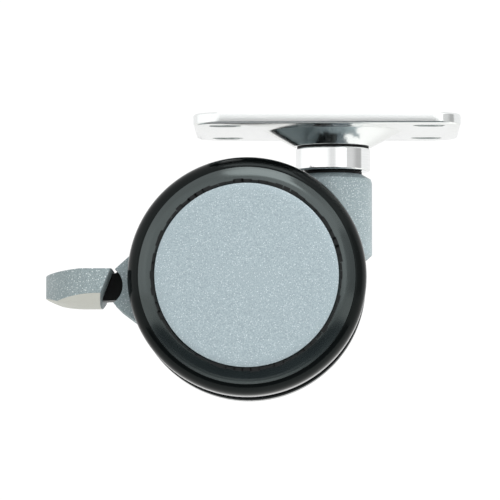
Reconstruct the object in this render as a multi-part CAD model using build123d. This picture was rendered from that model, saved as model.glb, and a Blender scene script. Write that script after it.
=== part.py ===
from build123d import *
from math import cos, radians, sin
import os

# Twin-wheel swivel castor with a top plate and a foot brake.
#
# Frame: +Z up, +X the way the castor leads. The origin is the middle of the plate's top
# face, and the swivel axis stands SWIVEL_X in front of it. The wheels trail towards -X, and
# their axle lies along Y. Units are millimetres. One STEP file is written for each sub-part.
# Each sub-part is drawn with the swivel axis at X = 0, and write() moves it into the frame.

# --- driving dimensions -----------------------------------------------------------
WHEEL_DIA = 75.0
TOTAL_HEIGHT = 88.5
TRAIL = 27.0                       # from the swivel axis back to the axle
PLATE_LENGTH, PLATE_WIDTH, PLATE_THICK = 84.0, 60.0, 3.6
SWIVEL_X = 1.9                     # swivel axis, from the middle of the plate
SLOT_SPACING_X, SLOT_SPACING_Y = 64.0, 42.0
SLOT_LENGTH, SLOT_WIDTH = 10.0, 6.5
WHEEL_GAP = 26.0                   # between the inner faces of the two wheels
TREAD_WIDTH = 14.6
BRAKE_TRAVEL = 15.0                # degrees of pedal travel, from released to locked

# --- dimensions worked out from them, with the swivel axis at X = 0 ---------------
WHEEL_R = WHEEL_DIA / 2
AXLE_X, AXLE_Z = -TRAIL, WHEEL_R - TOTAL_HEIGHT
WEB_HALF = WHEEL_GAP / 2 - 0.8     # half thickness of the housing between the wheels
WHEEL_IN = WHEEL_GAP / 2           # inner face of a wheel, from the middle plane
TREAD_OUT = WHEEL_IN + TREAD_WIDTH
BOSS_BOTTOM = -8.4                 # underside of the pressed cone in the plate
CONE_FLOOR = 3.4                   # metal left at the bottom of the cone
BOSS_WASHER = 0.6                  # thickness of the washer under the cone
COLLAR_BOTTOM = -16.2
NECK_TOP, NECK_BOTTOM = -17.2, -44.4
NECK_R = 12.4
PIN_R = 5.5                        # kingpin shank
BUSH_R = 7.5                       # outside of the swivel bushes
RUN = 0.05                         # radial clearance of a running fit

# Heights down the kingpin, from the collar's spigot to the circlip.
SPIGOT_BOTTOM = -17.4
UPPER_RACE_BOTTOM = -18.4
BALL_Z, BALL_R, BALL_PITCH_R = -19.52, 1.1, 7.1
LOWER_RACE_TOP, LOWER_RACE_BOTTOM = -20.64, -21.64
UPPER_RACE_R, RACE_R = 8.6, 8.8    # outsides of the two ball races
UPPER_BUSH_TOP, UPPER_BUSH_BOTTOM = -21.7, -29.5
LOWER_BUSH_TOP, LOWER_BUSH_BOTTOM = -32.2, -39.2
THRUST_BOTTOM = -40.0
GROOVE_TOP, GROOVE_BOTTOM, GROOVE_R = -40.2, -41.2, 4.9
CAVITY_R = 9.2                     # room for the circlip, and the bore of its plug

# The axle, and the distances outwards from the middle plane of what is on it.
AXLE_R = 4.0
HUB_BORE_R = 5.5
BUSH_FLANGE_R = 8.5
OUTER_BUSH_IN, OUTER_BUSH_OUT = 20.5, 26.1
WASHER_IN, WASHER_OUT, WASHER_R = 26.3, 27.0, 6.9
CLIP_IN, CLIP_OUT, CLIP_R = 27.1, 27.8, 6.6
CAP_BACK = 28.6

# The wheel's rim and teeth.
TOOTH_COUNT = 36                   # internal brake teeth in each wheel
TOOTH_TIP_R, TOOTH_ROOT_R, RIM_R = 29.5, 31.7, 34.0
CAP_R = 28.75

# The brake pivot and its locking bar, measured from the axle. The bar is placed so
# that it moves along a wheel radius as it drops between two teeth.
LOCK_R, LOCK_ANGLE, LOCK_ARM = 30.0, 162.2, 9.0
PIVOT_X = LOCK_R * cos(radians(LOCK_ANGLE)) + LOCK_ARM * cos(radians(LOCK_ANGLE + 90))
PIVOT_Z = LOCK_R * sin(radians(LOCK_ANGLE)) + LOCK_ARM * sin(radians(LOCK_ANGLE + 90))
PIVOT_R = 2.0
HUB_R = 4.6                        # lever hub round the pivot
TONGUE_HALF, SLOT_HALF = 5.0, 5.4  # half widths of the lever's tongue and of its slot
PAST = 60.0                        # long enough for a cutting shape to reach past everything


def from_axle(shape):
    """Moves a shape drawn round the axle to the axle's place."""
    return Pos(AXLE_X, 0, AXLE_Z) * shape


def along_y(sketch, low, high):
    """Extrudes a sketch drawn in X and Z from Y = low to Y = high."""
    return extrude(Plane.XZ.offset(-high) * sketch, high - low)


def bar_y(x, z, radius, low, high):
    """A round bar along Y."""
    return along_y(Pos(x, z) * Circle(radius), low, high)


def disc_z(radius, low, high):
    """A disc or a bar on the swivel axis."""
    return Pos(0, 0, (low + high) / 2) * Cylinder(radius, high - low)


def ring_z(inner, outer, low, high):
    """A flat ring round the swivel axis."""
    return disc_z(outer, low, high) - disc_z(inner, low - 1, high + 1)


def turned(points):
    """Revolves a closed outline of (radius, height) points about the swivel axis."""
    return revolve(make_face(Plane.XZ * Polyline(*points, close=True)), Axis.Z)


def wheel_ring(inner, outer, low, high):
    """A ring round the axle, low and high measured outwards on the -Y side."""
    return bar_y(0, 0, outer, -high, -low) - bar_y(0, 0, inner, -high - 1, -low + 1)


def wheel_turned(face):
    """Revolves a face of (radius, distance outwards) about the axle, on the -Y side."""
    return revolve(face, Axis.Y)


def edges_at(shape, z, radius):
    """The round edges of a shape at height z with that radius."""
    return [e for e in shape.edges().filter_by(GeomType.CIRCLE)
            if abs(e.arc_center.Z - z) < 0.01 and abs(e.radius - radius) < 0.01]


# --- parts fixed to the plate -------------------------------------------------------
def top_plate():
    """Pressed steel plate with four slots and a cone pressed down round the kingpin."""
    corner, rim_round, bottom_round, bend_round, mouth_round = 9.0, 0.7, 1.4, 3.0, 1.5
    cone_top, cone_bottom, recess_top, recess_bottom = 21.7, 12.4, 19.2, 10.4
    overlap, floor = 1.0, BOSS_BOTTOM + CONE_FLOOR
    outline = Pos(-SWIVEL_X, 0) * RectangleRounded(PLATE_LENGTH, PLATE_WIDTH, corner)
    blank = extrude(outline, -PLATE_THICK)
    blank = fillet(blank.edges().filter_by(Plane.XY), rim_round)
    cone = turned([(0, -overlap), (cone_top, -overlap), (cone_top, -PLATE_THICK),
                   (cone_bottom, BOSS_BOTTOM), (0, BOSS_BOTTOM)])
    plate = blank + cone
    plate = fillet(edges_at(plate, BOSS_BOTTOM, cone_bottom), bottom_round)
    plate = fillet(edges_at(plate, -PLATE_THICK, cone_top), bend_round)
    plate -= turned([(0, 0), (recess_top, 0), (recess_bottom, floor), (0, floor)])
    plate = fillet(edges_at(plate, 0, recess_top), mouth_round)
    plate -= disc_z(PIN_R, BOSS_BOTTOM - overlap, 0)
    for hole in GridLocations(SLOT_SPACING_X, SLOT_SPACING_Y, 2, 2):
        slot = Pos(-SWIVEL_X, 0, overlap) * hole * SlotOverall(SLOT_LENGTH, SLOT_WIDTH)
        plate -= extrude(slot, -(PLATE_THICK + 2 * overlap))
    return plate


def kingpin():
    """Steel pin with a peened head in the plate's recess and a circlip groove."""
    head_r, crown_r, head_top, rim, end, bevel = 8.5, 5.0, -1.8, 0.9, -42.3, 0.8
    seat = BOSS_BOTTOM + CONE_FLOOR
    return turned([(0, head_top), (crown_r, head_top), (head_r, seat + rim), (head_r, seat),
                   (PIN_R, seat), (PIN_R, GROOVE_TOP), (GROOVE_R, GROOVE_TOP),
                   (GROOVE_R, GROOVE_BOTTOM), (PIN_R, GROOVE_BOTTOM), (PIN_R, end + bevel),
                   (PIN_R - bevel, end), (0, end)])


def collar():
    """Bright turned sleeve between the plate and the neck, with a spigot on the race."""
    outer, spigot, edge = 11.85, 6.8, 0.35
    top = BOSS_BOTTOM - BOSS_WASHER
    return turned([(PIN_R, top), (outer - edge, top), (outer, top - edge),
                   (outer, COLLAR_BOTTOM + edge), (outer - edge, COLLAR_BOTTOM),
                   (spigot, COLLAR_BOTTOM), (spigot, SPIGOT_BOTTOM), (PIN_R, SPIGOT_BOTTOM)])


def kingpin_circlip():
    """Open spring ring in the kingpin's groove, with two pliers ears."""
    outer, slack, gap, ear_x, ear_long, ear_wide = 7.6, 0.1, 2.4, 6.9, 1.8, 2.2
    low, high = GROOVE_BOTTOM + slack, GROOVE_TOP - slack
    middle, thick, ear_y = (low + high) / 2, high - low, (gap + ear_wide) / 2
    ring = ring_z(GROOVE_R, outer, low, high)
    ring -= Pos(outer, 0, middle) * Box(outer, gap, 2 * thick)
    for side in (-1, 1):
        ring += Pos(ear_x, side * ear_y, middle) * Box(ear_long, ear_wide, thick)
    return ring - disc_z(GROOVE_R, low, high)


# --- parts of the swivelling housing ------------------------------------------------
def ball_ring():
    """Steel balls between the two races, and the cage that spaces them."""
    count, cage_in, cage_out, cage_half, play = 12, 5.7, 8.6, 0.4, 0.03
    places = [Rot(0, 0, 360 * i / count) * Pos(BALL_PITCH_R, 0, BALL_Z) for i in range(count)]
    balls = [place * Sphere(BALL_R) for place in places]
    cage = ring_z(cage_in, cage_out, BALL_Z - cage_half, BALL_Z + cage_half)
    for place in places:
        cage -= place * Cylinder(BALL_R + play, 4 * cage_half)
    return Compound(balls), cage


def sector(radius_in, radius_out, low, high):
    """A ring sector round the brake pivot, between two angles in degrees."""
    ring = Circle(radius_out) - Circle(radius_in)
    reach = 3 * radius_out
    wedge = make_face(Polyline((0, 0), (reach * cos(radians(low)), reach * sin(radians(low))),
                               (reach * cos(radians(high)), reach * sin(radians(high))), close=True))
    return Pos(PIVOT_X, PIVOT_Z) * (ring & wedge)


def snout():
    """Side outline of the beak at the back, with the round mouth the pedal backs into."""
    upper_tip, mouth, lower_tip = (-41.9, 3.0), (-39.4, -2.4), (-42.4, -7.6)
    return make_face([
        Line((-26.0, 12.5), (-32.9, 11.0)),
        Line((-32.9, 11.0), (-37.9, 6.6)),
        Line((-37.9, 6.6), upper_tip),
        ThreePointArc(upper_tip, mouth, lower_tip),
        Line(lower_tip, (-40.2, -9.8)),
        Line((-40.2, -9.8), (-34.6, -14.0)),
        Line((-34.6, -14.0), (-26.0, -14.0)),
        Line((-26.0, -14.0), (-26.0, 12.5)),
    ])


def web():
    """The block between the wheels, from the barrel back to the beak."""
    hood_r, skirt_z, clear_x = 35.0, -14.0, -9.0
    hood = Circle(hood_r) & Pos(0, skirt_z + PAST) * Rectangle(2 * PAST, 2 * PAST)
    block = from_axle(along_y(hood + snout(), -WEB_HALF, WEB_HALF))
    below_the_barrel = Pos(clear_x + PAST, 0, NECK_BOTTOM - PAST) * Box(2 * PAST, 2 * PAST, 2 * PAST)
    return block - below_the_barrel


def lever_room():
    """Space cut in the housing for the lever's tongue, hub, arm and locking bar."""
    roof_x, room_r, bar_out, bar_in = -36.0, HUB_R + 1.0, LOCK_ARM + 1.8, LOCK_ARM - 1.9
    arm_side, bar_side = 23, 13    # degrees of room beside the arm and the bar
    locked = LOCK_ANGLE - 90
    released = locked - BRAKE_TRAVEL
    width = PIVOT_X + room_r - roof_x
    slot = Pos(PIVOT_X, PIVOT_Z) * Circle(room_r)
    slot += Pos(roof_x - PAST / 2, 0) * Rectangle(PAST, 2 * PAST)
    slot += Pos(roof_x + width / 2, PIVOT_Z - PAST / 2) * Rectangle(width, PAST)
    slot += Pos((roof_x + PIVOT_X) / 2, PIVOT_Z) * Rectangle(PIVOT_X - roof_x, 2 * room_r)
    slot += sector(0.5, bar_out, released - arm_side, locked + arm_side)
    room = along_y(slot, -SLOT_HALF, SLOT_HALF)
    room += along_y(sector(bar_in, bar_out, released - bar_side, locked + bar_side), -PAST, PAST)
    return room


def housing():
    """Moulded body: an upright barrel, and a block between the wheels with the axle bore.
    Its forked back end carries the brake pivot."""
    shoulder_z, shoulder_r, flat_r, wall_z, foot = -18.8, 12.0, 9.2, -20.0, 1.5
    throat_r = PIN_R + 0.8
    spring_x, spring_z, spring_room, spring_high, spring_half = -25.3, -1.9, 3.4, 14.6, 3.2
    barrel = turned([(0, NECK_TOP), (flat_r, NECK_TOP), (shoulder_r, shoulder_z), (NECK_R, wall_z),
                     (NECK_R, NECK_BOTTOM + foot), (NECK_R - foot, NECK_BOTTOM), (0, NECK_BOTTOM)])
    body = barrel + web()
    body -= disc_z(RACE_R, LOWER_RACE_BOTTOM, NECK_TOP + 1)
    body -= disc_z(BUSH_R, UPPER_BUSH_BOTTOM, LOWER_RACE_BOTTOM)
    body -= disc_z(throat_r, LOWER_BUSH_TOP, UPPER_BUSH_BOTTOM)
    body -= disc_z(BUSH_R, LOWER_BUSH_BOTTOM, LOWER_BUSH_TOP)
    body -= disc_z(CAVITY_R, NECK_BOTTOM - 1, LOWER_BUSH_BOTTOM)
    body -= from_axle(bar_y(0, 0, AXLE_R, -PAST, PAST))
    body -= from_axle(bar_y(PIVOT_X, PIVOT_Z, PIVOT_R, -PAST, PAST))
    body -= from_axle(lever_room())
    spring_pocket = Pos(spring_x, spring_z) * Rectangle(spring_room, spring_high)
    body -= from_axle(along_y(spring_pocket, -spring_half, spring_half))
    return body


def bore_plug():
    """Push-in plug that closes the barrel below the kingpin."""
    thick, bevel = 1.4, 0.5
    plug = disc_z(CAVITY_R, NECK_BOTTOM, NECK_BOTTOM + thick)
    return chamfer(plug.edges().group_by(Axis.Z)[0], bevel)


def axle():
    """Ground steel axle with chamfered ends."""
    half, bevel = 28.3, 0.6
    shaft = bar_y(0, 0, AXLE_R, -half, half)
    return from_axle(chamfer(shaft.edges().filter_by(GeomType.CIRCLE), bevel))


def detent_spring():
    """Bent leaf spring behind the lever's hub, which gives the pedal its two clicks."""
    thick, half_width = 0.6, 3.0
    strip = trace(Polyline((-23.9, -8.6), (-26.1, -5.4), (-26.1, 3.2), (-24.6, 5.0)), thick)
    return from_axle(along_y(strip, -half_width, half_width))


# --- brake --------------------------------------------------------------------------
def pedal_pad():
    """The D-shaped foot pad, with a slanted back and a belly rounded both ways."""
    nose_x, straight_x, back_x, half_width = -64.2, -47.0, -42.6, 25.0
    past_x, past_y = nose_x - 1, half_width + 1
    outline = make_face([
        Line((straight_x, -half_width), (back_x, -half_width)),
        Line((back_x, -half_width), (back_x, half_width)),
        Line((back_x, half_width), (straight_x, half_width)),
        EllipticalCenterArc((straight_x, 0), straight_x - nose_x, half_width, 90, arc_size=180),
    ])
    side = make_face([
        Line((back_x, 2.9), (-45.8, -5.2)),
        Line((-45.8, -5.2), (-46.6, -8.8)),
        ThreePointArc((-46.6, -8.8), (-57.5, -7.9), (past_x, -5.4)),
        Line((past_x, -5.4), (past_x, 1.0)),
        ThreePointArc((past_x, 1.0), (-54.0, 2.4), (back_x, 2.9)),
    ])
    front = make_face([
        Line((-past_y, -5.0), (-past_y, 2.4)),
        ThreePointArc((-past_y, 2.4), (0, 3.2), (past_y, 2.4)),
        Line((past_y, 2.4), (past_y, -5.0)),
        ThreePointArc((past_y, -5.0), (0, -8.9), (-past_y, -5.0)),
    ])
    pad = extrude(Pos(0, 0, -PAST / 2) * outline, PAST)
    pad &= along_y(side, -past_y, past_y)
    pad &= extrude(Plane.YZ.offset(-2 * PAST) * front, 2 * PAST)
    return pad


def tongue_outline():
    """Side outline of the lever's tongue, from inside the pad to the hub."""
    return make_face(Polyline((-50.0, 0.6), (-42.4, 2.0), (-37.4, 4.8), (PIVOT_X, PIVOT_Z + HUB_R),
                              (PIVOT_X, PIVOT_Z - HUB_R), (-37.6, -6.2), (-45.4, -6.6),
                              (-50.0, -5.4), close=True))


def brake_arm():
    """Tongue, hub and locking bar in one casting, in the released position."""
    bar_half, arm_wide, bar_deep, bar_wide, bar_round = 17.0, 3.4, 2.2, 2.8, 0.5
    # With the brake locked the arm is square to the wheel's radius through the bar.
    released = Pos(PIVOT_X, PIVOT_Z) * Rot(0, 0, LOCK_ANGLE - 90 - BRAKE_TRAVEL)
    hub = Pos(PIVOT_X, PIVOT_Z) * Circle(HUB_R)
    arm = released * Pos(LOCK_ARM / 2, 0) * Rectangle(LOCK_ARM, arm_wide)
    bar = released * Pos(LOCK_ARM, 0) * RectangleRounded(bar_deep, bar_wide, bar_round)
    casting = along_y(tongue_outline() + hub + arm, -TONGUE_HALF, TONGUE_HALF)
    casting += along_y(bar, -bar_half, bar_half)
    casting -= bar_y(PIVOT_X, PIVOT_Z, PIVOT_R + RUN, -PAST, PAST)
    return from_axle(casting)


def brake_pedal():
    """The foot pad, pressed over the end of the arm's tongue."""
    return from_axle(pedal_pad() - along_y(tongue_outline(), -TONGUE_HALF, TONGUE_HALF))


# --- wheels, drawn on the -Y side and mirrored --------------------------------------
def tyre():
    """Moulded tread band: flat across, with a big round outer shoulder."""
    inner_round, crown_u, lip = 1.2, 22.0, 0.3
    corner_r, corner_u = WHEEL_R - inner_round, WHEEL_IN + inner_round
    face = make_face([
        Line((RIM_R, -WHEEL_IN), (corner_r, -WHEEL_IN)),
        CenterArc((corner_r, -corner_u), inner_round, 0, 90),
        Line((WHEEL_R, -corner_u), (WHEEL_R, -crown_u)),
        Spline((WHEEL_R, -crown_u), (36.7, -25.4), (RIM_R + lip, -TREAD_OUT),
               tangents=[(0, -1), (-1, -0.55)]),
        Line((RIM_R + lip, -TREAD_OUT), (RIM_R, -TREAD_OUT)),
        Line((RIM_R, -TREAD_OUT), (RIM_R, -WHEEL_IN)),
    ])
    return wheel_turned(face)


def core_face():
    """Half section of the wheel body, radius in X and distance outwards in -Y."""
    hub_u, recess_u, lip_u, disc_u, bend_u = WHEEL_IN + 0.1, 26.2, 29.9, 26.4, 24.0
    recess_r, hub_r, seat_r, lip_r = 7.2, 9.5, CAP_R + 0.15, CAP_R + 0.55
    return make_face([
        Line((HUB_BORE_R, -hub_u), (HUB_BORE_R, -recess_u)),
        Line((HUB_BORE_R, -recess_u), (recess_r, -recess_u)),
        Line((recess_r, -recess_u), (recess_r, -CAP_BACK)),
        Line((recess_r, -CAP_BACK), (seat_r, -CAP_BACK)),
        Line((seat_r, -CAP_BACK), (seat_r, -lip_u + 0.3)),
        Line((seat_r, -lip_u + 0.3), (lip_r, -lip_u)),
        Spline((lip_r, -lip_u), (32.0, -29.1), (RIM_R, -TREAD_OUT), tangents=[(1, 0.1), (1, 0.75)]),
        Line((RIM_R, -TREAD_OUT), (RIM_R, -WHEEL_IN)),
        Line((RIM_R, -WHEEL_IN), (TOOTH_ROOT_R, -WHEEL_IN)),
        Line((TOOTH_ROOT_R, -WHEEL_IN), (TOOTH_ROOT_R, -bend_u)),
        Line((TOOTH_ROOT_R, -bend_u), (TOOTH_TIP_R, -disc_u)),
        Line((TOOTH_TIP_R, -disc_u), (hub_r, -disc_u)),
        Line((hub_r, -disc_u), (hub_r, -hub_u)),
        Line((hub_r, -hub_u), (HUB_BORE_R, -hub_u)),
    ])


def snap_places():
    """Places of the hub cap's four snap legs, between the wheel's ribs."""
    leg_r, half_rib_angle = 20.0, 22.5
    return [Rot(0, 0, 90 * i + half_rib_angle) * Pos(leg_r, 0) for i in range(4)]


def wheel_core():
    """Moulded wheel body: hub, ribs, front disc, and a rim with internal brake teeth."""
    tip_half, root_half, tooth_u, root_r = 0.8, 1.25, 18.8, TOOTH_ROOT_R + 0.5
    rib_count, rib_middle, rib_long, rib_thick, rib_in, rib_out = 8, 20.4, 23.0, 1.6, 19.5, 27.0
    notch_deep, notch_wide = 2.0, 5.4
    core = wheel_turned(core_face())
    tooth = make_face(Polyline((TOOTH_TIP_R, -tip_half), (root_r, -root_half),
                               (root_r, root_half), (TOOTH_TIP_R, tip_half), close=True))
    pitch = 360 / TOOTH_COUNT
    teeth = [along_y(Rot(0, 0, LOCK_ANGLE + pitch * (i + 0.5)) * tooth, -tooth_u, -WHEEL_IN)
             for i in range(TOOTH_COUNT)]
    rib = Pos(rib_middle, 0) * Rectangle(rib_long, rib_thick)
    ribs = [along_y(Rot(0, 0, 360 * i / rib_count) * rib, -rib_out, -rib_in) for i in range(rib_count)]
    core = core.fuse(*teeth, *ribs)
    for place in snap_places():
        core -= along_y(place * Rectangle(notch_deep, notch_wide), -CAP_BACK - 1, -CAP_BACK + 4)
    return core


def hub_cap():
    """Slightly domed cover disc with four snap legs behind it."""
    edge_front, bevel_in, bevel_out, dome = 30.3, 0.5, 0.3, 30.9
    leg_deep, leg_wide, leg_end, overlap = 1.5, 4.6, 26.0, 0.4
    bevel = (CAP_R - bevel_in, -edge_front - bevel_out)
    face = make_face([
        Line((0, -CAP_BACK), (CAP_R, -CAP_BACK)),
        Line((CAP_R, -CAP_BACK), (CAP_R, -edge_front)),
        Line((CAP_R, -edge_front), bevel),
        Spline(bevel, (14, -dome + 0.1), (0, -dome), tangents=[(-1, -0.05), (-1, 0)]),
        Line((0, -dome), (0, -CAP_BACK)),
    ])
    cap = wheel_turned(face)
    for place in snap_places():
        cap += along_y(place * Rectangle(leg_deep, leg_wide), -CAP_BACK - overlap, -leg_end)
    return cap


def flanged_bush():
    """Plain bush whose flange spaces the hub off the housing."""
    flange_in, flange_out, end = WEB_HALF + 0.15, WHEEL_IN + 0.1, WHEEL_IN + 5.5
    bush = wheel_ring(AXLE_R + RUN, HUB_BORE_R, flange_out, end)
    return bush + wheel_ring(AXLE_R + RUN, BUSH_FLANGE_R, flange_in, flange_out)


def axle_clip():
    """Push-on star washer that keeps the wheel on the axle."""
    slit_count, slit_middle, slit_long, slit_wide = 6, 4.6, 1.8, 0.7
    clip = wheel_ring(AXLE_R, CLIP_R, CLIP_IN, CLIP_OUT)
    slit = Pos(slit_middle, 0) * Rectangle(slit_long, slit_wide)
    for i in range(slit_count):
        clip -= along_y(Rot(0, 0, 360 * i / slit_count) * slit, -CLIP_OUT - 1, -CLIP_IN + 1)
    return clip


# --- writing ------------------------------------------------------------------------
def write(name, shape):
    """Moves one sub-part from the swivel axis to the frame, and writes parts/NAME.step."""
    placed = Pos(SWIVEL_X, 0, 0) * shape
    placed.label = name
    export_step(placed, f"parts/{name}.step")


def main():
    os.makedirs("parts", exist_ok=True)
    washer_bottom = BOSS_BOTTOM - BOSS_WASHER
    balls, cage = ball_ring()
    swivel_parts = {
        "top_plate": top_plate(),
        "kingpin": kingpin(),
        "boss_washer": ring_z(PIN_R, 11.4, washer_bottom, BOSS_BOTTOM),
        "collar": collar(),
        "upper_race": ring_z(PIN_R, UPPER_RACE_R, UPPER_RACE_BOTTOM, SPIGOT_BOTTOM),
        "kingpin_circlip": kingpin_circlip(),
        "swivel_balls": balls,
        "ball_cage": cage,
        "neck_seal": ring_z(7.1, 9.15, NECK_TOP, COLLAR_BOTTOM - 0.2),
        "lower_race": ring_z(6.0, RACE_R, LOWER_RACE_BOTTOM, LOWER_RACE_TOP),
        "upper_bush": ring_z(PIN_R + RUN, BUSH_R, UPPER_BUSH_BOTTOM, UPPER_BUSH_TOP),
        "lower_bush": ring_z(PIN_R + RUN, BUSH_R, LOWER_BUSH_BOTTOM, LOWER_BUSH_TOP),
        "thrust_washer": ring_z(PIN_R + 2 * RUN, 9.0, THRUST_BOTTOM, LOWER_BUSH_BOTTOM),
        "bore_plug": bore_plug(),
        "housing": housing(),
        "axle": axle(),
        "lever_pin": from_axle(bar_y(PIVOT_X, PIVOT_Z, PIVOT_R, -WEB_HALF, WEB_HALF)),
        "detent_spring": detent_spring(),
        "brake_arm": brake_arm(),
        "brake_pedal": brake_pedal(),
    }
    for name, shape in swivel_parts.items():
        write(name, shape)

    wheel_parts = {
        "tyre": tyre(),
        "wheel_core": wheel_core(),
        "hub_cap": hub_cap(),
        "inner_bush": flanged_bush(),
        "outer_bush": wheel_ring(AXLE_R + RUN, HUB_BORE_R, OUTER_BUSH_IN, OUTER_BUSH_OUT),
        "axle_washer": wheel_ring(AXLE_R, WASHER_R, WASHER_IN, WASHER_OUT),
        "axle_clip": axle_clip(),
    }
    for name, shape in wheel_parts.items():
        placed = from_axle(shape)
        write("right_" + name, placed)
        write("left_" + name, mirror(placed, Plane.XZ))


main()
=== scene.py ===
"""Twin-wheel swivel castor with a top plate and a foot brake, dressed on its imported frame.

All lengths are metres, in the frame's own axes: +Z up, the wheels trail towards -X, the
axle lies along Y, and the right wheel is the one on the -Y side.
"""
import math

import bmesh
import bpy
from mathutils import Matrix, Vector


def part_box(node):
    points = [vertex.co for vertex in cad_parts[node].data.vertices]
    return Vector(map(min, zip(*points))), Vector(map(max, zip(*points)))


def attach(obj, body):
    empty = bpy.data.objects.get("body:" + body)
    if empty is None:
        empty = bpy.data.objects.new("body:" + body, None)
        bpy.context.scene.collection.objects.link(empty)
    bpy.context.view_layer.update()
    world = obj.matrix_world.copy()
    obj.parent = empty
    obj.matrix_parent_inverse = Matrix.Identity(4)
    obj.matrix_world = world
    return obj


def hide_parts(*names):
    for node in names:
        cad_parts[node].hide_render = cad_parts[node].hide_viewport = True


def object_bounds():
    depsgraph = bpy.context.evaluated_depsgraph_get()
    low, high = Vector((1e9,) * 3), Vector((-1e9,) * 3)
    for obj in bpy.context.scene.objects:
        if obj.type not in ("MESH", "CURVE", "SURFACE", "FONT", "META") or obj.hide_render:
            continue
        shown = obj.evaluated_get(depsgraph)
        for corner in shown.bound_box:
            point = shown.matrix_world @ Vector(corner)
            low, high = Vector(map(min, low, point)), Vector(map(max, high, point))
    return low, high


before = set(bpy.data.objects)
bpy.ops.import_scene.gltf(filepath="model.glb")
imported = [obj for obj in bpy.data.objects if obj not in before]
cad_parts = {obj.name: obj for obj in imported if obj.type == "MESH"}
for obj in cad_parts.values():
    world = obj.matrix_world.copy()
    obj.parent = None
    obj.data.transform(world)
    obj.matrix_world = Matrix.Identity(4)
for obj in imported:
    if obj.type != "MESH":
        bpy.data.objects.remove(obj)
cad_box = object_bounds()

# --- top plate -----------------------------------------------------------------------
# Steel sheet, sheared, pressed down into a cone and zinc plated. The plating is bright, with
# a faint rolled grain along the plate and fine pits.
MM = 0.001


def linear(hex_colour):
    """An sRGB hex colour as the linear RGBA that a shader socket takes."""
    parts = [int(hex_colour[i:i + 2], 16) / 255 for i in (1, 3, 5)]
    return [p / 12.92 if p <= 0.04045 else ((p + 0.055) / 1.055) ** 2.4 for p in parts] + [1.0]


def node(tree, kind, settings=None, links=None):
    """Adds a node. Settings are properties by name, or sockets by name or number."""
    made = tree.nodes.new(kind)
    for key, value in (settings or {}).items():
        if isinstance(key, str) and hasattr(made, key):
            setattr(made, key, value)
        else:
            made.inputs[key].default_value = value
    for key, source in (links or {}).items():
        tree.links.new(source, made.inputs[key])
    return made


def new_finish(name, settings):
    """A material with a bare principled shader, and its tree, shader and coordinates."""
    made = bpy.data.materials.new(name)
    made.use_nodes = True
    tree = made.node_tree
    tree.nodes.clear()
    shader = node(tree, "ShaderNodeBsdfPrincipled", settings)
    node(tree, "ShaderNodeOutputMaterial", None, {"Surface": shader.outputs[0]})
    return made, tree, shader, node(tree, "ShaderNodeTexCoord")


def softened(name, body, material, width):
    """A CAD node's shape with its sharp edges rounded, which then stands for the node."""
    weld, flat, sharp = 0.002 * MM, math.radians(0.6), math.radians(35)
    shape = bmesh.new()
    shape.from_mesh(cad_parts[name].data)
    bmesh.ops.remove_doubles(shape, verts=shape.verts, dist=weld)
    bmesh.ops.dissolve_limit(shape, angle_limit=flat, verts=shape.verts, edges=shape.edges)
    for edge in shape.edges:
        edge.smooth = len(edge.link_faces) == 2 and edge.calc_face_angle(0) < sharp
    for face in shape.faces:
        face.smooth = True
    mesh = bpy.data.meshes.new(name + "_rounded")
    shape.to_mesh(mesh)
    shape.free()
    mesh.materials.clear()
    mesh.materials.append(material)
    piece = bpy.data.objects.new(name + "_rounded", mesh)
    bpy.context.collection.objects.link(piece)
    rounding = piece.modifiers.new("edge radius", "BEVEL")
    rounding.width = width
    rounding.segments = 3
    rounding.limit_method = "ANGLE"
    rounding.angle_limit = sharp
    rounding.harden_normals = True
    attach(piece, body)
    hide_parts(name)


def zinc_plated_sheet():
    grain_width, grain_stretch, pit_size, pit_depth = 0.35 * MM, 0.06, 0.45 * MM, 0.02 * MM
    made, tree, shader, place = new_finish("zinc_plated_steel", {"Metallic": 1.0})
    drawn = node(tree, "ShaderNodeMapping", {"Scale": (grain_stretch, 1.0, 1.0)},
                 {"Vector": place.outputs["Object"]})
    grain = node(tree, "ShaderNodeTexNoise", {"Scale": 1 / grain_width, "Detail": 3.0},
                 {"Vector": drawn.outputs[0]})
    tint = node(tree, "ShaderNodeMix", {"data_type": "RGBA", 6: linear("#e2e6e6"), 7: linear("#f8f9f8")},
                {0: grain.outputs["Fac"]})
    gloss = node(tree, "ShaderNodeMapRange", {"To Min": 0.07, "To Max": 0.20},
                 {"Value": grain.outputs["Fac"]})
    pits = node(tree, "ShaderNodeTexNoise", {"Scale": 1 / pit_size, "Detail": 4.0},
                {"Vector": place.outputs["Object"]})
    relief = node(tree, "ShaderNodeBump", {"Distance": pit_depth, "Strength": 0.35},
                  {"Height": pits.outputs["Fac"]})
    tree.links.new(tint.outputs[2], shader.inputs["Base Color"])
    tree.links.new(gloss.outputs[0], shader.inputs["Roughness"])
    tree.links.new(relief.outputs[0], shader.inputs["Normal"])
    return made


softened("top_plate", "plate", zinc_plated_sheet(), 0.25 * MM)


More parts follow.
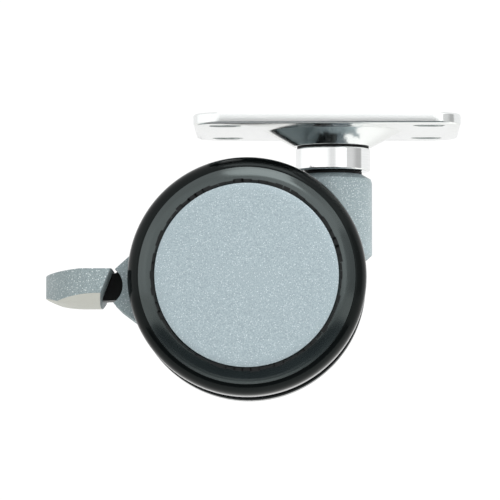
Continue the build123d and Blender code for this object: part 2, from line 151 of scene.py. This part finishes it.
# --- collar ----------------------------------------------------------------------------
# Steel sleeve turned on a lathe and bright zinc plated, so it is nearly a mirror. The
# turning marks round the swivel axis are 0.05 mm apart, drawn at 0.4 mm so that they show.
def turned_steel(name, low, high, roughness, depth):
    mark_pitch, streak = 0.4 * MM, 0.02
    made, tree, shader, place = new_finish(name, {"Metallic": 1.0, "Roughness": roughness})
    squeezed = node(tree, "ShaderNodeMapping", {"Scale": (streak, streak, 1.0)},
                    {"Vector": place.outputs["Object"]})
    marks = node(tree, "ShaderNodeTexNoise", {"Scale": 1 / mark_pitch, "Detail": 2.0},
                 {"Vector": squeezed.outputs[0]})
    tint = node(tree, "ShaderNodeMix", {"data_type": "RGBA", 6: linear(low), 7: linear(high)},
                {0: marks.outputs["Fac"]})
    relief = node(tree, "ShaderNodeBump", {"Distance": depth, "Strength": 0.5},
                  {"Height": marks.outputs["Fac"]})
    tree.links.new(tint.outputs[2], shader.inputs["Base Color"])
    tree.links.new(relief.outputs[0], shader.inputs["Normal"])
    return made


bright_zinc = turned_steel("bright_zinc_plated_steel", "#eceeee", "#fafbfb", 0.09, 0.002 * MM)
softened("collar", "plate", bright_zinc, 0.2 * MM)


# --- kingpin, races, axle, pins and clips -------------------------------------------------
# Bare steel: turned pins, ground balls, and clips and a leaf spring in blued strip.
def paint(material, *names):
    """Gives CAD nodes their finish."""
    for name in names:
        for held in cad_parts[name].material_slots:
            held.material = material


bare_steel = turned_steel("bare_turned_steel", "#8f9596", "#b4b9ba", 0.28, 0.01 * MM)
blued_strip = turned_steel("blued_spring_steel", "#3c4249", "#59616a", 0.34, 0.008 * MM)
paint(bare_steel, "kingpin", "upper_race", "lower_race", "swivel_balls", "axle", "lever_pin",
      "right_axle_washer", "left_axle_washer")
paint(blued_strip, "kingpin_circlip", "detent_spring", "right_axle_clip", "left_axle_clip")


# --- seals, bushes and washers ---------------------------------------------------------
# The two seals are nitrile rubber, black and dull. The bushes, the ball cage and the thrust
# washer are natural acetal, milky white and slightly waxy.
def plain_moulding(name, low, high, roughness, mottle, depth, settings):
    """A moulded plastic or rubber: a mottled colour and gloss, and a fine skin."""
    gloss_spread = 0.05
    made, tree, shader, place = new_finish(name, settings)
    fleck = node(tree, "ShaderNodeTexNoise", {"Scale": 1 / mottle, "Detail": 4.0},
                 {"Vector": place.outputs["Object"]})
    tint = node(tree, "ShaderNodeMix", {"data_type": "RGBA", 6: linear(low), 7: linear(high)},
                {0: fleck.outputs["Fac"]})
    gloss = node(tree, "ShaderNodeMapRange",
                 {"To Min": roughness - gloss_spread, "To Max": roughness + gloss_spread},
                 {"Value": fleck.outputs["Fac"]})
    relief = node(tree, "ShaderNodeBump", {"Distance": depth}, {"Height": fleck.outputs["Fac"]})
    tree.links.new(tint.outputs[2], shader.inputs["Base Color"])
    tree.links.new(gloss.outputs[0], shader.inputs["Roughness"])
    tree.links.new(relief.outputs[0], shader.inputs["Normal"])
    return made


nitrile = plain_moulding("nitrile_rubber", "#050606", "#101212", 0.60, 0.5 * MM, 0.02 * MM,
                         {"IOR": 1.52, "Specular IOR Level": 0.2})
acetal = plain_moulding("natural_acetal", "#dcdbd2", "#eceae2", 0.38, 0.8 * MM, 0.01 * MM, {"IOR": 1.48})
paint(nitrile, "boss_washer", "neck_seal")
paint(acetal, "ball_cage", "upper_bush", "lower_bush", "thrust_washer", "right_inner_bush",
      "right_outer_bush", "left_inner_bush", "left_outer_bush")


# --- housing ---------------------------------------------------------------------------
# One moulding in polyamide with aluminium flake in it: the neck barrel, the block between
# the wheels and the forked beak. It looks cool grey, with scattered bright specks.
def silver_flake(name, dark, pale, speck, speck_share, grain, painted_underside_light=None):
    """Silver flake plastic. The flake is 0.1 mm, drawn at 0.3 mm with specks 0.7 mm apart."""
    flake_size, speck_gap, cloud_size = 0.3 * MM, 0.7 * MM, 5 * MM
    speck_core = 0.4  # the part of each speck that is fully bright
    made, tree, shader, place = new_finish(name, {"Metallic": 0.15, "IOR": 1.5})
    spot = place.outputs["Object"]
    flake = node(tree, "ShaderNodeTexNoise", {"Scale": 1 / flake_size, "Detail": 1.0}, {"Vector": spot})
    mottle = node(tree, "ShaderNodeMix", {"data_type": "RGBA", 6: linear(dark), 7: linear(pale)},
                  {0: flake.outputs["Fac"]})
    cells = node(tree, "ShaderNodeTexVoronoi", {"Scale": 1 / speck_gap, "Randomness": 1.0}, {"Vector": spot})
    spark = node(tree, "ShaderNodeMapRange", {"From Min": speck_share, "From Max": speck_share * speck_core},
                 {"Value": cells.outputs["Distance"]})
    tint = node(tree, "ShaderNodeMix", {"data_type": "RGBA", 7: linear(speck)},
                {0: spark.outputs[0], 6: mottle.outputs[2]})
    # Down-facing faces get a lighter, warmer grey with no flake. This is painted light, standing for the
    # light thrown up by the bright floor.
    if painted_underside_light:
        side_on, down = -0.55, -0.85
        facing = node(tree, "ShaderNodeSeparateXYZ", None, {0: place.outputs["Normal"]})
        plain = node(tree, "ShaderNodeMapRange", {"From Min": side_on, "From Max": down},
                     {"Value": facing.outputs["Z"]})
        tint = node(tree, "ShaderNodeMix", {"data_type": "RGBA", 7: linear(painted_underside_light)},
                    {0: plain.outputs[0], 6: tint.outputs[2]})
    cloud = node(tree, "ShaderNodeTexNoise", {"Scale": 1 / cloud_size, "Detail": 1.0}, {"Vector": spot})
    gloss = node(tree, "ShaderNodeMapRange", {"To Min": 0.40, "To Max": 0.56},
                 {"Value": cloud.outputs["Fac"]})
    relief = node(tree, "ShaderNodeBump", {"Distance": grain}, {"Height": flake.outputs["Fac"]})
    tree.links.new(tint.outputs[2], shader.inputs["Base Color"])
    tree.links.new(gloss.outputs[0], shader.inputs["Roughness"])
    tree.links.new(relief.outputs[0], shader.inputs["Normal"])
    return made


housing_finish = silver_flake("silver_flake_polyamide_housing", "#647276", "#b3c2c6", "#d8e1e3",
                              0.30, 0.02 * MM)
softened("housing", "housing", housing_finish, 0.5 * MM)

# --- brake arm ---------------------------------------------------------------------------
# Zinc casting with a satin, slightly dimpled skin. Its near-black colour is painted shade:
# it stands for the deep shadow in the recess between the pedal and the wheels.
# Near-black colour: painted shade for the shaded recess between the pedal and the wheels.
arm_painted_shade = plain_moulding("arm_black_painted_shade", "#040505", "#0c0e0e", 0.45, 0.9 * MM, 0.02 * MM,
                             {"IOR": 1.5, "Specular IOR Level": 0.2})
softened("brake_arm", "lever", arm_painted_shade, 0.4 * MM)

# --- brake pedal -------------------------------------------------------------------------
# The same plastic as the housing, with a coarser grain for grip under a shoe. No flake shows
# on its down-facing faces. They are painted a lighter, warmer grey: painted light from the bright floor
# below.
pedal_finish = silver_flake("silver_flake_polyamide_pedal", "#525f63", "#a4b2b4", "#d4dcdd",
                            0.30, 0.05 * MM, painted_underside_light="#b4b5ad")
softened("brake_pedal", "lever", pedal_finish, 0.6 * MM)

# --- wheel bodies -----------------------------------------------------------------------
# Black polyamide from a polished mould: glossy, with faint lathe rings from the mould, 0.2 mm
# apart and drawn at 0.8 mm. The plug under the neck is the same plastic.
cap_low, cap_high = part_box("right_hub_cap")
cap_radius = (cap_high.x - cap_low.x) / 2
axle_centre = Vector(((cap_low.x + cap_high.x) / 2, 0, (cap_low.z + cap_high.z) / 2))


def polished_polyamide():
    ring_pitch, ring_depth, flow_size = 0.8 * MM, 0.003 * MM, 9 * MM
    wave_period = 0.314  # the Wave texture's period at a scale of 1
    made, tree, shader, place = new_finish("polished_black_polyamide",
                                           {"IOR": 1.53, "Specular IOR Level": 1.0,
                                            "Specular Tint": linear("#eafaf9")})
    centred = node(tree, "ShaderNodeMapping", {"Location": -axle_centre},
                   {"Vector": place.outputs["Object"]})
    rings = node(tree, "ShaderNodeTexWave", {"wave_type": "RINGS", "rings_direction": "Y",
                                             "Scale": wave_period / ring_pitch, "Distortion": 1.5},
                 {"Vector": centred.outputs[0]})
    flow = node(tree, "ShaderNodeTexNoise", {"Scale": 1 / flow_size, "Detail": 2.0},
                {"Vector": place.outputs["Object"]})
    tint = node(tree, "ShaderNodeMix", {"data_type": "RGBA", 6: linear("#0b0e0f"), 7: linear("#14191a")},
                {0: flow.outputs["Fac"]})
    gloss = node(tree, "ShaderNodeMapRange", {"To Min": 0.13, "To Max": 0.24},
                 {"Value": flow.outputs["Fac"]})
    relief = node(tree, "ShaderNodeBump", {"Distance": ring_depth}, {"Height": rings.outputs["Fac"]})
    tree.links.new(tint.outputs[2], shader.inputs["Base Color"])
    tree.links.new(gloss.outputs[0], shader.inputs["Roughness"])
    tree.links.new(relief.outputs[0], shader.inputs["Normal"])
    return made


polyamide = polished_polyamide()
paint(polyamide, "bore_plug")
for side in ("right", "left"):
    softened(side + "_wheel_core", side + "_wheel", polyamide, 0.2 * MM)


# --- lugs round the hub caps --------------------------------------------------------------
# Small lugs of the wheel body's own moulding, that centre each cap, are a guess. Dull and near-black,
# they make an uneven dark line round the cap's edge that is painted shade for the gap there.
def lug_ring_tree():
    """Geometry Nodes: lugs set evenly round the axle, each a little different in size."""
    smallest, largest = (0.15, 1.0, 0.95), (1.2, 1.0, 1.45)
    tree = bpy.data.node_groups.new("cap_lug_ring", "GeometryNodeTree")
    for name, kind in (("Count", "NodeSocketInt"), ("Ring Radius", "NodeSocketFloat"),
                       ("Face", "NodeSocketFloat"), ("Lug Size", "NodeSocketVector"),
                       ("Axle", "NodeSocketVector"), ("Finish", "NodeSocketMaterial")):
        tree.interface.new_socket(name, in_out="INPUT", socket_type=kind)
    tree.interface.new_socket("Geometry", in_out="OUTPUT", socket_type="NodeSocketGeometry")
    given = tree.nodes.new("NodeGroupInput").outputs
    step = node(tree, "ShaderNodeMath", {"operation": "DIVIDE", 0: math.tau}, {1: given["Count"]})
    turn = node(tree, "ShaderNodeMath", {"operation": "MULTIPLY"},
                {0: node(tree, "GeometryNodeInputIndex").outputs[0], 1: step.outputs[0]})
    across = node(tree, "ShaderNodeMath", {"operation": "COSINE"}, {0: turn.outputs[0]})
    up = node(tree, "ShaderNodeMath", {"operation": "SINE"}, {0: turn.outputs[0]})
    flat_ring = node(tree, "ShaderNodeCombineXYZ", None, {"X": across.outputs[0], "Z": up.outputs[0]})
    ring = node(tree, "ShaderNodeVectorMath", {"operation": "SCALE"},
                {0: flat_ring.outputs[0], "Scale": given["Ring Radius"]})
    outward = node(tree, "ShaderNodeCombineXYZ", None, {"Y": given["Face"]})
    lifted = node(tree, "ShaderNodeVectorMath", {"operation": "ADD"},
                  {0: ring.outputs[0], 1: outward.outputs[0]})
    centred = node(tree, "ShaderNodeVectorMath", {"operation": "ADD"},
                   {0: lifted.outputs[0], 1: given["Axle"]})
    points = node(tree, "GeometryNodePoints", None,
                  {"Count": given["Count"], "Position": centred.outputs[0]})
    lug = node(tree, "GeometryNodeMeshCube", None, {"Size": given["Lug Size"]})
    back_turn = node(tree, "ShaderNodeMath", {"operation": "MULTIPLY", 1: -1.0}, {0: turn.outputs[0]})
    facing = node(tree, "ShaderNodeCombineXYZ", None, {"Y": back_turn.outputs[0]})
    uneven = node(tree, "FunctionNodeRandomValue",
                  {"data_type": "FLOAT_VECTOR", 0: smallest, 1: largest, "Seed": 7})
    placed = node(tree, "GeometryNodeInstanceOnPoints", None,
                  {"Points": points.outputs[0], "Instance": lug.outputs[0], "Rotation": facing.outputs[0],
                   "Scale": uneven.outputs[0]})
    real = node(tree, "GeometryNodeRealizeInstances", None, {"Geometry": placed.outputs[0]})
    done = node(tree, "GeometryNodeSetMaterial", None,
                {"Geometry": real.outputs[0], "Material": given["Finish"]})
    node(tree, "NodeGroupOutput", None, {"Geometry": done.outputs[0]})
    return tree


def grown(name, tree, values):
    """A plain mesh made by a Geometry Nodes tree with these inputs."""
    maker = bpy.data.objects.new(name + "_maker", bpy.data.meshes.new(name + "_seed"))
    bpy.context.collection.objects.link(maker)
    growth = maker.modifiers.new("growth", "NODES")
    growth.node_group = tree
    for socket in tree.interface.items_tree:
        if socket.in_out == "INPUT":
            growth[socket.identifier] = values[socket.name]
    depsgraph = bpy.context.evaluated_depsgraph_get()
    mesh = bpy.data.meshes.new_from_object(maker.evaluated_get(depsgraph), depsgraph=depsgraph)
    bpy.data.objects.remove(maker)
    piece = bpy.data.objects.new(name, mesh)
    bpy.context.collection.objects.link(piece)
    return piece


# Dull near-black lugs: painted shade, standing for the shadow in the gap round each cap's edge.
cap_gap_painted_shade = plain_moulding("cap_gap_painted_shade_black", "#080a0b", "#101415", 0.55, 0.5 * MM, 0.02 * MM,
                            {"IOR": 1.53, "Specular IOR Level": 0.3})
lug_tree = lug_ring_tree()
lug_count, lug_offset, lug_face = 72, 0.75 * MM, 29.65 * MM
lug_width, lug_height, lug_length = 1.3 * MM, 0.9 * MM, 2.3 * MM
for side, sign in (("right", -1), ("left", 1)):
    lugs = grown(side + "_cap_lugs", lug_tree, {
        "Count": lug_count, "Ring Radius": cap_radius + lug_offset, "Face": sign * lug_face,
        "Lug Size": (lug_width, lug_height, lug_length), "Axle": axle_centre, "Finish": cap_gap_painted_shade})
    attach(lugs, side + "_wheel")

# --- hub caps ---------------------------------------------------------------------------
# A shallow domed disc in the same silver flake plastic, with the finest grain, that snaps
# into the wheel body.
cap_finish = silver_flake("silver_flake_polyamide_cap", "#6e7c83", "#b1c0c5", "#cbd6da", 0.25, 0.011 * MM)
for side in ("right", "left"):
    softened(side + "_hub_cap", side + "_wheel", cap_finish, 0.15 * MM)

# --- treads -----------------------------------------------------------------------------
# Black thermoplastic polyurethane moulded over the wheel body. It is darker than the body
# and smooth, so it is nearly black face on and bright where the light grazes it.
tread_rubber = plain_moulding("satin_black_polyurethane", "#040606", "#090b0b", 0.14, 0.7 * MM, 0.002 * MM,
                              {"IOR": 1.5, "Specular IOR Level": 0.16,
                               "Specular Tint": linear("#eafaf9")})
for side in ("right", "left"):
    softened(side + "_tyre", side + "_wheel", tread_rubber, 0.1 * MM)


# --- studio -----------------------------------------------------------------------------
# White all round for the eye. For the light it is an even white room with brighter panels in
# front at both sides and at the left, dimmer ones at the right and straight in front, and a
# dark one low in front.
def white_studio():
    world = bpy.data.worlds.new("white_studio")
    world.use_nodes = True
    tree = world.node_tree
    tree.nodes.clear()
    way = node(tree, "ShaderNodeTexCoord").outputs["Generated"]
    level = node(tree, "ShaderNodeValue")
    level.outputs[0].default_value = 0.95
    strength = level.outputs[0]
    # direction to the middle of each panel, cosines at its outer and inner edge, and its gain
    for middle, outer, inner, gain in (((0.0, -0.85, -0.53), 0.72, 0.93, 0.12),
                                       ((0.55, -0.75, 0.30), 0.70, 0.92, 1.5),
                                       ((-0.55, -0.75, 0.25), 0.75, 0.95, 1.25),
                                       ((-0.97, -0.10, 0.0), 0.75, 0.95, 1.25),
                                       ((0.94, -0.34, 0.0), 0.86, 0.90, 0.50),
                                       ((0.08, -1.0, -0.04), 0.988, 0.994, 0.85)):
        toward = node(tree, "ShaderNodeVectorMath",
                      {"operation": "DOT_PRODUCT", 1: Vector(middle).normalized()}, {0: way})
        share = node(tree, "ShaderNodeMapRange", {"interpolation_type": "SMOOTHSTEP", "From Min": outer,
                                                  "From Max": inner, "To Min": 1.0, "To Max": gain},
                     {"Value": toward.outputs["Value"]})
        strength = node(tree, "ShaderNodeMath", {"operation": "MULTIPLY"},
                        {0: strength, 1: share.outputs[0]}).outputs[0]
    light = node(tree, "ShaderNodeBackground", {"Color": linear("#ffffff")}, {"Strength": strength})
    eye = node(tree, "ShaderNodeBackground", {"Color": linear("#ffffff"), "Strength": 1.05})
    seen = node(tree, "ShaderNodeLightPath").outputs["Is Camera Ray"]
    both = node(tree, "ShaderNodeMixShader", None, {0: seen, 1: light.outputs[0], 2: eye.outputs[0]})
    node(tree, "ShaderNodeOutputWorld", None, {"Surface": both.outputs[0]})
    return world


bpy.context.scene.world = white_studio()
bpy.context.scene.view_settings.view_transform = "Standard"


def flat_sheet(name, half_width, near, far, height, finish):
    """A level rectangle that is part of the studio."""
    mesh = bpy.data.meshes.new(name)
    corners = [(-half_width, near, height), (half_width, near, height),
               (half_width, far, height), (-half_width, far, height)]
    mesh.from_pydata(corners, [], [(0, 1, 2, 3)])
    mesh.materials.append(finish)
    piece = bpy.data.objects.new(name, mesh)
    piece.visible_camera = False
    bpy.context.collection.objects.link(piece)
    return piece


# The floor throws light up, and is unseen, so that the castor can be looked at from below. The
# grey card lies on it in front, where only reflections meet it.
floor_half, floor_height, card_lift = 3.0, -0.40, 5 * MM
pale_paint = new_finish("pale_floor", {"Roughness": 0.7, "Base Color": linear("#f2f2f0")})[0]
flat_sheet("floor", floor_half, -floor_half, floor_half, floor_height, pale_paint)
grey_felt = new_finish("grey_card", {"Roughness": 0.9, "Specular IOR Level": 0.0,
                                     "Base Color": linear("#565e62")})[0]
card_half, card_near, card_far = 0.8, -1.6, -0.14
card = flat_sheet("grey_card", card_half, card_near, card_far, floor_height + card_lift, grey_felt)
card.visible_diffuse = False
card.visible_shadow = False

box_centre = (cad_box[0] + cad_box[1]) / 2


def soft_light(name, away, size, power, mirrored=True):
    """A square area light, away from the object's middle and facing it."""
    data = bpy.data.lights.new(name, "AREA")
    data.size = size
    data.energy = power
    lamp = bpy.data.objects.new(name, data)
    lamp.location = box_centre + Vector(away)
    lamp.rotation_euler = Vector(away).to_track_quat("Z", "Y").to_euler()
    lamp.visible_glossy = mirrored
    bpy.context.collection.objects.link(lamp)


soft_light("overhead", (0.10, -0.35, 0.75), 0.5, 1.8)
soft_light("right_rim", (0.60, 0.40, -0.05), 0.4, 1.2, mirrored=False)
soft_light("neck_fill", (0.42, -0.50, 0.025), 0.15, 1.6, mirrored=False)

# --- camera -----------------------------------------------------------------------------
# A long lens a little below the object, almost square on to the right wheel.
distance, azimuth, elevation = 1.5, math.radians(0.95), math.radians(-4.0)
view_width, sensor = 156.7 * MM, 36.0
tread_plane, aim_forward, aim_above = -22 * MM, 0.94 * MM, 8.3 * MM
aim = Vector((axle_centre.x + aim_forward, tread_plane, axle_centre.z + aim_above))
back = Vector((math.sin(azimuth) * math.cos(elevation), -math.cos(azimuth) * math.cos(elevation),
               math.sin(elevation)))
lens = bpy.data.cameras.new("long_lens")
lens.sensor_width = sensor
lens.lens = sensor * distance / view_width
camera = bpy.data.objects.new("camera", lens)
camera.location = aim + back * distance
camera.rotation_euler = back.to_track_quat("Z", "Y").to_euler()
bpy.context.collection.objects.link(camera)
bpy.context.scene.camera = camera
